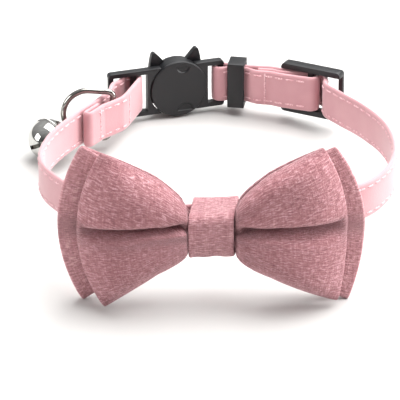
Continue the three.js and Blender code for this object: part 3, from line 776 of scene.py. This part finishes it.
# D ring

RING = {"wire": 1.6, "half": 6.6, "reach": 13.4, "heading": 184.0, "tip": 7.0, "drop": 0.3}


def ring_axes():
    """The ring's middle on its bar, its way out and its way up: it leans up by its tip."""
    out = direction(RING["heading"])
    tip = np.radians(RING["tip"])
    centre = np.array([*ring_bar, STRAP_WIDTH / 2 - RING["drop"]])
    outwards = np.array([*(out * np.cos(tip)), np.sin(tip)])
    upwards = np.array([*(-out * np.sin(tip)), np.cos(tip)])
    return centre, outwards, upwards


def ring_points(out, up):
    """Places on the ring's plane by their distances out from the bar and up from its middle."""
    centre, outwards, upwards = ring_axes()
    return centre + np.multiply.outer(out, outwards) + np.multiply.outer(up, upwards)


ARC_CENTRE = RING["reach"] - RING["wire"] / 2 - RING["half"]


def ring_line():
    """The wire's middle line: a straight bar, two short arms and a half circle."""
    half, corner = RING["half"], 0.9
    turn = np.radians(np.arange(75, -76, -15))
    out = [0, 0, 0, corner, ARC_CENTRE * 0.6, *(ARC_CENTRE + half * np.cos(turn)),
           ARC_CENTRE * 0.6, corner, 0, 0]
    up = [0, half * 0.7, half - corner, half, half, *(half * np.sin(turn)),
          -half, -half, -half + corner, -half * 0.7]
    return smooth_line(ring_points(out, up), 0.2, closed=True)


def closed_wire(line, radius, plane_normal, sides=20):
    """A round wire along a flat closed line: circles spanned by the line's own normal in its
    plane and the plane's normal."""
    chord = unit(np.roll(line, -1, 0) - np.roll(line, 1, 0))
    inside = np.cross(plane_normal, chord)
    turn = full_turn(sides)
    return (
        line[:, None] + radius * np.cos(turn)[None, :, None] * inside[:, None]
        + radius * np.sin(turn)[None, :, None] * plane_normal
    )


_, ring_out, ring_up = ring_axes()
wire_grid = closed_wire(ring_line(), RING["wire"] / 2, np.cross(ring_out, ring_up))
d_ring = new_piece("d_ring_wire", wire_grid, loop_faces(wire_grid), WIRE)
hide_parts("d_ring")


# Bell

BELL = {
    "radius": 5.5, "wall": 0.9, "loop": 2.4, "loop_wire": 1.0, "heading": 230.0,
    "hook_angle": -45.0, "floor_gap": 0.2, "slot_length": 7.0, "hole": 1.0,
    "hole_gap": 0.58, "cut": (-2.0, -9.0),
    "seam": 0.3, "seam_reach": 0.5, "groove": 0.4, "groove_reach": 0.2,
}


def bell_place():
    """The bell's middle, its three axes and its loop's height. It hangs at the angle that
    brings it just over the table."""
    def on_arc(degrees):
        turn = np.radians(degrees)
        return ring_points(ARC_CENTRE + RING["half"] * np.cos(turn), RING["half"] * np.sin(turn))

    hook = on_arc(BELL["hook_angle"])
    loop_out = BELL["radius"] + BELL["loop"] - BELL["loop_wire"] * 0.7
    reach = loop_out + BELL["loop"] - BELL["loop_wire"] / 2 - RING["wire"] / 2 - GAP
    angle = np.radians(np.linspace(-80, 80, 4001))
    away = direction(BELL["heading"])
    at = hook + reach * np.stack(
        [away[0] * np.cos(angle), away[1] * np.cos(angle), np.sin(angle)], 1,
    )
    height = on_table(at)[:, 2] / MM
    wanted = BELL["radius"] + BELL["seam"] + BELL["floor_gap"]
    centre = at[np.argmin(np.abs(height - wanted))]
    axis = unit(hook - centre)
    wire = on_arc(BELL["hook_angle"] + 1) - on_arc(BELL["hook_angle"] - 1)
    across = unit(wire - axis * (wire @ axis))
    return centre, np.stack([np.cross(across, axis), across, axis], 1), loop_out


bell_centre, bell_axes, loop_out = bell_place()


def on_bell(points):
    """Collar millimetres from the bell's own: z towards its loop, x along its slot."""
    return np.asarray(points) @ bell_axes.T + bell_centre


def bell_profiles():
    """The shell's two cuts from the bottom up, outside and inside: half circles, the outer one
    with the rolled seam as a low bump and a groove in it."""
    radius, inner = BELL["radius"], BELL["radius"] - BELL["wall"]
    coarse, fine = np.linspace(-88, 88, 45), np.linspace(-8, 8, 33)
    turn = np.radians(coarse)
    inside = np.stack([inner * np.cos(turn), inner * np.sin(turn)], 1)
    turn = np.unique(np.radians(np.r_[coarse, fine]).round(6))
    height = radius * np.sin(turn)
    bump = BELL["seam"] * np.exp(-(height / BELL["seam_reach"]) ** 4)
    groove = (BELL["seam"] + BELL["groove"]) * np.exp(-(height / BELL["groove_reach"]) ** 4)
    return np.stack([(radius + bump - groove) * np.cos(turn), height], 1), inside


def slot_cutter():
    """A prism through the lower half of the bell, with a round hole at each of its ends. The
    holes are open towards the slot by an angle to each side."""
    arch = np.linspace(BELL["hole_gap"], 2 * np.pi - BELL["hole_gap"], 30)
    end = [BELL["slot_length"] / 2 - BELL["hole"] * np.cos(arch), BELL["hole"] * np.sin(arch)]
    right = np.stack(end, 1)
    outline = np.concatenate([-right[::-1], right[::-1]])
    top, bottom = (np.c_[outline, np.full(len(outline), height)] for height in BELL["cut"])
    grid = on_bell(np.stack([top, bottom]))
    return new_piece("cutter", grid, tube_faces(grid), BRIGHT)


def cut_bell(piece):
    """Cuts the slot and its holes through the bell."""
    cutter = slot_cutter()
    work = bmesh.new()
    work.from_mesh(cutter.data)
    bmesh.ops.recalc_face_normals(work, faces=work.faces)
    work.to_mesh(cutter.data)
    work.free()
    modifier = piece.modifiers.new("slot", "BOOLEAN")
    modifier.operation = "DIFFERENCE"
    modifier.solver = "EXACT"
    modifier.object = cutter
    bpy.context.view_layer.update()
    made = bpy.data.meshes.new_from_object(
        piece.evaluated_get(bpy.context.evaluated_depsgraph_get())
    )
    piece.modifiers.clear()
    piece.data = made
    bpy.data.objects.remove(cutter)
    made.name = piece.name
    made.set_sharp_from_angle(angle=np.radians(40))


def bell_piece():
    """The bell's shell: its inner face looks inwards, and the slot is cut through both."""
    outer, inner = (turned_about(profile) for profile in bell_profiles())
    points = np.concatenate([outer.reshape(-1, 3), inner.reshape(-1, 3)])
    shift = outer[..., 0].size
    faces = turned_faces(outer) + [face[:, ::-1] + shift for face in turned_faces(inner)]
    piece = new_piece("bell_shell", on_bell(points), faces, BRIGHT)
    cut_bell(piece)
    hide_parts("bell")


def bell_hanger():
    """The bell's round loop, soldered on and hooked into the D ring."""
    turn = full_turn(120)
    circle = np.stack([np.cos(turn), 0 * turn, np.sin(turn)], 1) * BELL["loop"]
    grid = closed_wire(
        on_bell(circle + [0, 0, loop_out]), BELL["loop_wire"] / 2, bell_axes[:, 1], 16,
    )
    new_piece("bell_loop", grid, loop_faces(grid), BRIGHT)


bell_piece()
bell_hanger()


# Bows

# Pairs are left and right, fours top left, top right, bottom left and bottom right. Flare is
# the power by which a wing opens, pull draws its corners in, curl is the power by which its
# edges turn back, and balloon is its extra height beside the knot.
FRONT = {
    "half_width": (33.2, 32.2), "half_height": 20.9, "forward": 8.4, "backward": 0.0,
    "edge_slack": 1.0, "crease": 1.0, "raise": (1.5, 1.1), "neck_shift": -0.8,
    "curl": (5.0, 12.0, 7.0, 7.0), "balloon": (3.2, 1.8, 0.6, 0.4),
    "pull": (0.18, 0.19, 0.19, 0.06), "flare": (0.75, 0.56, 0.8, 0.58),
}
REAR = {
    "half_width": (37.8, 36.9), "half_height": 20.9, "forward": 0.0, "backward": 3.6,
    "edge_slack": 0.18, "crease": 0.2, "raise": (1.9, -0.4), "neck_shift": 0.0,
    "curl": (2.5, 2.5, 2.5, 2.5), "balloon": (0.0, 0.0, 0.0, 0.0),
    "pull": (0.16, 0.2, 0.15, 0.1), "flare": (0.76, 0.76, 0.92, 0.66),
}

# Each wing's crease: its lip's height at the knot and its climb to the end fold, and below it
# the share and the reach of a shelf and the reach of a long slope
CREASE_LEFT = {"lip": 2.9, "climb": -1.6, "shelf": 0.85, "shelf_reach": 2.1, "slope_reach": 6.0}
CREASE_RIGHT = {"lip": 1.5, "climb": 0.1, "shelf": 0.9, "shelf_reach": 3.4, "slope_reach": 8.0}
LIP_ROUNDING, UPPER_REACH = 0.3, 1.7
SAG_DEPTH, SAG_HEIGHT, SAG_REACH = 1.3, 2.2, 1.6

# How far the panels close towards the end fold, and how far they puff out beside the knot,
# as a share of the swell, within this share of the way out
FOLD_CLOSING = 0.6
PUFF, PUFF_REACH = 0.27, 0.02
GATHER_DEPTH, WAVE_DEPTH = 0.12, 0.18

NECK_HALF_HEIGHT, NECK_HALF_WIDTH, NECK_HALF_DEPTH = 4.0, 5.9, 1.0
NECK_SHARE = 4 / 48
NECK_DEPTH = NECK_HALF_DEPTH + 0.6
REAR_DEPTH = STRAP_THICK / 2 + GAP + NECK_DEPTH
FRONT_DEPTH = REAR_DEPTH + 2 * NECK_DEPTH + GAP


def by_side(pair_of, side):
    """The left or the right value at each point."""
    return np.where(side > 0, pair_of[1], pair_of[0])


def by_corner(values, side, across):
    """One of four corner values at each point, passing over smoothly at the middle."""
    top = 1 / (1 + np.exp(-across * 14))
    return by_side(values[:2], side) * top + by_side(values[2:], side) * (1 - top)


def round_loop(bow, around):
    """Where each share of the way round lies: its side, how far out from 0 at the knot to 1 at
    the end fold, its distance from the middle and its depth, +1 in front to -1 behind."""
    turn = np.mod(around, 1.0) * 4
    quarter = np.floor(turn).astype(int) % 4
    part = turn - np.floor(turn)
    from_fold = np.where(quarter % 2 == 0, part, 1 - part)
    side = np.where((quarter == 0) | (quarter == 3), 1.0, -1.0)
    facing = np.where(quarter < 2, 1.0, -1.0)
    angle = np.minimum(from_fold / (1 - NECK_SHARE), 1) * np.pi / 2
    in_neck = from_fold >= 1 - NECK_SHARE
    out = np.where(in_neck, 0.0, np.cos(angle))
    reach = np.where(
        in_neck, NECK_HALF_WIDTH * (1 - from_fold) / NECK_SHARE,
        NECK_HALF_WIDTH + (by_side(bow["half_width"], side) - NECK_HALF_WIDTH) * out,
    )
    return side, out, reach, facing * np.where(in_neck, 1.0, np.sin(angle))


def under_lip(crease, below):
    """How far a wing's panel is in below its lip: a shelf and a long slope."""
    shelf = np.exp(-(below / crease["shelf_reach"]) ** 4)
    slope = np.exp(-(below / crease["slope_reach"]) ** 1.5)
    return crease["shelf"] * shelf + (1 - crease["shelf"]) * slope


def lobes(side, out, height):
    """How far the front panel falls from its full swell, 0 to 1, by the height in millimetres.
    It comes out of the crease above as a steep bell curve and below as under_lip() says. Also
    how far the upper lobe sags over it, a bell curve about a height over the lip."""
    creases = (CREASE_LEFT, CREASE_RIGHT)
    lip = by_side([crease["lip"] + crease["climb"] * out for crease in creases], side)
    above = np.maximum(height - lip - LIP_ROUNDING, 0)
    below = np.maximum(lip - height - LIP_ROUNDING, 0) / np.minimum(1, 0.35 + out)
    upper = np.exp(-(above / UPPER_REACH) ** 2)
    lower = by_side([under_lip(crease, below) for crease in creases], side)
    sag = SAG_DEPTH * np.exp(-((height - lip - SAG_HEIGHT) / SAG_REACH) ** 2)
    return np.where(height >= lip, upper, lower), sag


def bow_surface(bow, around, across):
    """The bow's middle surface about the knot: x to the right, y into the ring and z up. The
    cloth opens to its full height by a power of the way out, swells out of its plane and curls
    back at its edges."""
    side, out, reach, depth = round_loop(bow, around)
    safe = np.maximum(out, 1e-6)
    opening = np.where(out > 0, safe ** by_corner(bow["flare"], side, across), 0.0)
    height = NECK_HALF_HEIGHT + (bow["half_height"] - NECK_HALF_HEIGHT) * opening
    balloon = by_corner(bow["balloon"], side, across)
    height = height + balloon * (1 - out ** 1.5) * np.minimum(1, out * 24)
    puff = PUFF * (1 - np.exp(-safe / PUFF_REACH)) * (1 - out)
    swell = np.where(
        depth > 0, bow["forward"] * (safe ** 0.7 + puff), bow["backward"] * safe ** 1.6,
    )
    curl = bow["edge_slack"] * np.abs(across) ** by_corner(bow["curl"], side, across)
    swell = np.where(out > 0, swell, 0.0) * (1 - curl)
    closing = 1 - FOLD_CLOSING * out ** 6
    room = swell * depth * closing
    neck = NECK_HALF_DEPTH * (1 - 0.38 * curl * np.minimum(1, out * 4)) * depth * closing
    # The crease is in the front panel only, and fades at the knot and at the end fold
    front = np.clip(depth * 4, 0, 1)
    crease = np.minimum(1, out * 16) * (1 - out ** 18) * bow["crease"] * front
    fall, sag = lobes(side, out, across * height)
    # Gathers fan out from the knot and fade, and a slow wave runs along the lobes
    gather = GATHER_DEPTH * np.sin(across * 15 + side * 1.3)
    gather = gather * np.exp(-(out / 0.3) ** 1.5) * np.minimum(1, out * 12)
    wave = WAVE_DEPTH * np.sin(3.1 * across + 5 * out + side)
    wave = wave * np.minimum(1, out * 3) * (1 - out ** 4)
    pull = by_corner(bow["pull"], side, across)
    x = side * reach * (1 - pull * out * across ** 2) + bow["neck_shift"] * (1 - out) ** 4
    y = crease * fall * room - neck - room - (gather + wave) * front * (1 - curl)
    z = across * height + by_side(bow["raise"], side) * np.minimum(1, out * 3)
    z = z - sag * crease * bow["crease"] * np.minimum(1, out * 4)
    return np.stack([x, y, z], -1)


def across_steps(steps):
    """Places from edge to edge, closer together at the crease and at both edges."""
    share = np.linspace(-1, 1, 2001)
    at_crease = 4 * np.exp(-(share / 0.13) ** 2)
    at_edges = 3 * np.exp(-((1 - np.abs(share)) / 0.04) ** 2)
    density = 1 + at_crease + at_edges
    total = np.r_[0, np.cumsum((density[1:] + density[:-1]) / 2)]
    return np.interp(np.linspace(0, total[-1], steps + 1), total, share)


def shell(outer, inner):
    """A closed grid from the outer face going up and the inner one coming down."""
    return np.concatenate([outer, inner[:, -2:0:-1]], 1)


def corner_map(round_mm, across_mm, yarns_across=False):
    """Each face corner's place on the cloth, by its place round the band and across it. The
    first of the pair runs along the yarns."""
    rings, columns = len(round_mm) - 1, len(across_mm) - 1
    i, j = np.meshgrid(np.arange(rings), np.arange(columns), indexing="ij")
    pairs = np.stack([
        np.stack([round_mm[a], across_mm[b]], -1)
        for a, b in ((i, j), (i + 1, j), (i + 1, j + 1), (i, j + 1))
    ], 2).reshape(-1, 2)
    return pairs[:, ::-1] if yarns_across else pairs


def way_round(point):
    """Millimetres round the middle column of a closed grid, back to its first point."""
    middle = point[:, point.shape[1] // 2]
    return lengths_along(np.concatenate([middle, middle[:1]]))


def bow_grid(bow, rings=288, steps=92):
    """The bow as a closed shell with rounded edges, and its middle surface."""
    around = (np.arange(rings) / rings)[:, None]
    across = across_steps(steps)[None]
    nudge = 2e-3

    def moved(on, up):
        return bow_surface(bow, around + on, np.clip(across + up, -1, 1))

    point = moved(0, 0)
    along = moved(nudge, 0) - moved(-nudge, 0)
    normal = unit(np.cross(moved(0, nudge) - moved(0, -nudge), along))
    half = CLOTH / 2 * np.sqrt(1 - np.abs(across) ** 40)[..., None]
    return shell(point + normal * half, point - normal * half), point


def bow_map(point):
    """The bow's map: its middle line's way round, and even steps over its greatest width."""
    count = point.shape[1]
    widest = np.linalg.norm(np.diff(point, axis=1), axis=2).sum(1).max() / 2
    across = np.linspace(-widest, widest, count)
    return corner_map(way_round(point), across[np.r_[there_and_back(count), 0]])


def at_knot(points, depth):
    """Moves what is drawn about the knot to its place, a depth out of the strap's middle."""
    turn = np.radians(BOW_YAW)
    spin = np.array([[np.cos(turn), -np.sin(turn), 0], [np.sin(turn), np.cos(turn), 0], [0, 0, 1]])
    return points @ spin.T + [*knot(0, -depth), STRAP_WIDTH / 2]


def bow_piece(name, bow, depth, node, cloth):
    """A bow's padded cloth at its depth in front of the strap."""
    grid, point = bow_grid(bow)
    piece = new_piece(
        name, at_knot(grid, depth), loop_faces(grid), cloth, uv=bow_map(point),
    )
    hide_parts(node)
    return piece


front_bow = bow_piece("front_bow_cloth", FRONT, FRONT_DEPTH, "bow_front", CLOTH_FRONT)
# The rear bow wears the knit copy painted lighter, standing in for light on its wings
rear_bow = bow_piece("rear_bow_cloth", REAR, REAR_DEPTH, "bow_rear", CLOTH_REAR_PAINTED_LIGHTER)


# Knot band

# The lower front corner hangs down, and the band leans across by its depth from a depth
BAND = {
    "half_cloth": 0.5, "front_half": 5.0, "hang": 0.9, "crown": 0.6, "hems": 0.2,
    "lean": 0.19, "lean_from": -3.5, "radii": (3.2, 1.1, 1.1, 2.0), "map_start": 60,
}


def knot_section():
    """The band's closed middle line in the plane of depth and height: four sides joined by
    round corners, higher behind, where it goes round the strap, than in front."""
    cloth, front_half = BAND["half_cloth"], BAND["front_half"]
    back = STRAP_THICK / 2 + GAP * 1.5 + cloth
    front = -(FRONT_DEPTH + NECK_DEPTH + GAP + cloth)
    back_half = STRAP_WIDTH / 2 + GAP + cloth
    corners = np.array([
        (front, -front_half - BAND["hang"]), (back, -back_half), (back, back_half),
        (front, front_half),
    ])
    t = np.linspace(0, 1, 12)[:, None]
    line = []
    for i, radius in enumerate(BAND["radii"]):
        corner = corners[i]
        before, after = corners[i - 1] - corner, corners[(i + 1) % 4] - corner
        start, end = corner + unit(before) * radius, corner + unit(after) * radius
        line.append((1 - t) ** 2 * start + 2 * t * (1 - t) * corner + t ** 2 * end)
    line = np.concatenate(line)
    return evenly(np.concatenate([line, line[:1]]), 1 / 6)[:-1]


def knot_grid(columns=40):
    """The band as a closed shell, drawn in at its waist, and its middle surface."""
    line = knot_section()
    chord = unit(np.roll(line, -1, 0) - np.roll(line, 1, 0))
    outward = np.stack([chord[:, 1], -chord[:, 0]], 1)
    share = np.sin(np.linspace(-np.pi / 2, np.pi / 2, columns + 1) * 0.97)
    share /= share[-1]
    half = BAND["half_cloth"] * np.sqrt(1 - np.abs(share) ** 30)
    depth, height = line[:, :1], line[:, 1:]
    crown = np.maximum(1 - (height / BAND["front_half"]) ** 2, 0) * np.clip(-depth / 4, 0, 1)
    crease = 0.1 * np.sin(share * 7 + depth * 0.4) * np.clip(-depth / 8, 0, 1)
    rise = BAND["hems"] * share ** 2 + crease + BAND["crown"] * crown
    middle = line[:, None] + outward[:, None] * rise[..., None]

    def leaning(plane):
        x = share * KNOT_WIDTH / 2 + BAND["lean"] * (plane[..., 0] - BAND["lean_from"])
        return np.stack([x, plane[..., 0], plane[..., 1]], -1)

    way = outward[:, None] * half[None, :, None]
    return shell(leaning(middle + way), leaning(middle - way)), leaning(middle)


def knot_map(point):
    """The band's map: its yarns run across its width. It starts away from the bows' places."""
    across = point[0, :, 0][np.r_[there_and_back(point.shape[1]), 0]]
    return corner_map(way_round(point) + BAND["map_start"], across, yarns_across=True)


# The knot wears the knit copy painted lighter, standing in for light on its top and underside
grid, point = knot_grid()
knot_cloth = new_piece(
    "knot_cloth", at_knot(grid, 0), loop_faces(grid), CLOTH_KNOT_PAINTED_LIGHTER,
    uv=knot_map(point),
)
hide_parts("knot_band")


# Table, light and camera

def stage_table():
    """A wide pale table top with a soft satin face."""
    half = 3.0
    mesh = bpy.data.meshes.new("table_top")
    mesh.from_pydata(
        [(-half, -half, 0), (half, -half, 0), (half, half, 0), (-half, half, 0)], [],
        [(0, 1, 2, 3)],
    )
    table = new_object("table_top", mesh)
    material, tree, surface = new_material("pale_table")
    fill(tree, surface, Base_Color=linear("#CDCCCA"), Roughness=0.8)
    mesh.materials.append(material)


def soft_light(name, place, size, watts):
    """A square soft box that looks at the collar's middle."""
    data = bpy.data.lights.new(name, "AREA")
    data.shape = "SQUARE"
    data.size = size
    data.energy = watts
    light = new_object(name, data)
    away = Vector(place) - Vector((0, 0, 0.01))
    turn = away.to_track_quat("Z", "Y").to_matrix().to_4x4()
    light.matrix_world = Matrix.Translation(place) @ turn


def studio():
    """A big soft box over the collar, behind it and to its right, weak ones at both sides, and
    a sky that darkens towards the horizon and the front."""
    soft_light("top_back", (0.25, 0.3, 0.85), 1.1, 24.0)
    soft_light("right", (0.85, -0.05, 0.3), 0.4, 6.8)
    soft_light("left", (-0.8, -0.25, 0.3), 0.4, 3.6)
    world = bpy.data.worlds.new("studio_sky")
    bpy.context.scene.world = world
    world.use_nodes = True
    tree = world.node_tree
    way = add_node(tree, "TexCoord").outputs["Generated"]
    parts = add_node(tree, "SeparateXYZ", Vector=way)
    up_and_back = scaled_sum(tree, parts.outputs["Y"], 0.6, parts.outputs["Z"])
    strength = ranged(tree, up_and_back, (0.0, 1.0), (0.12, 0.6))
    fill(tree, tree.nodes["Background"], Color=(1, 1, 1, 1), Strength=strength)


# The photograph: metres from the ring's middle, degrees over its plane, pixels a radian, and
# the ring's middle in pixels right of and above the middle of the picture
PHOTO = {"distance": 0.8, "rise": 25.0, "focal": 3088, "right": 18, "above": 50, "picture": 400}


def photo_camera():
    """The camera at the photograph's angle, looking beside the ring's middle by its shift."""
    rise = np.radians(PHOTO["rise"])
    toward = TIP @ np.array([0, -np.cos(rise), np.sin(rise)])
    right = TIP @ np.array([1.0, 0, 0])
    up = np.cross(toward, right)
    place = on_table(np.array([0, 0, STRAP_WIDTH / 2])) + toward * PHOTO["distance"]
    back = unit(toward + (right * PHOTO["right"] + up * PHOTO["above"]) / PHOTO["focal"])
    side = unit(np.cross(up, back))
    data = bpy.data.cameras.new("photo_camera")
    data.sensor_width = 36
    data.lens = PHOTO["focal"] * data.sensor_width / PHOTO["picture"]
    data.clip_start = 0.05
    camera = new_object("photo_camera", data)
    matrix = np.eye(4)
    matrix[:3, 0], matrix[:3, 1], matrix[:3, 2] = side, np.cross(back, side), back
    matrix[:3, 3] = place
    camera.matrix_world = Matrix(matrix.tolist())
    bpy.context.scene.camera = camera


stage_table()
studio()
photo_camera()
bpy.context.scene.view_settings.view_transform = "Standard"
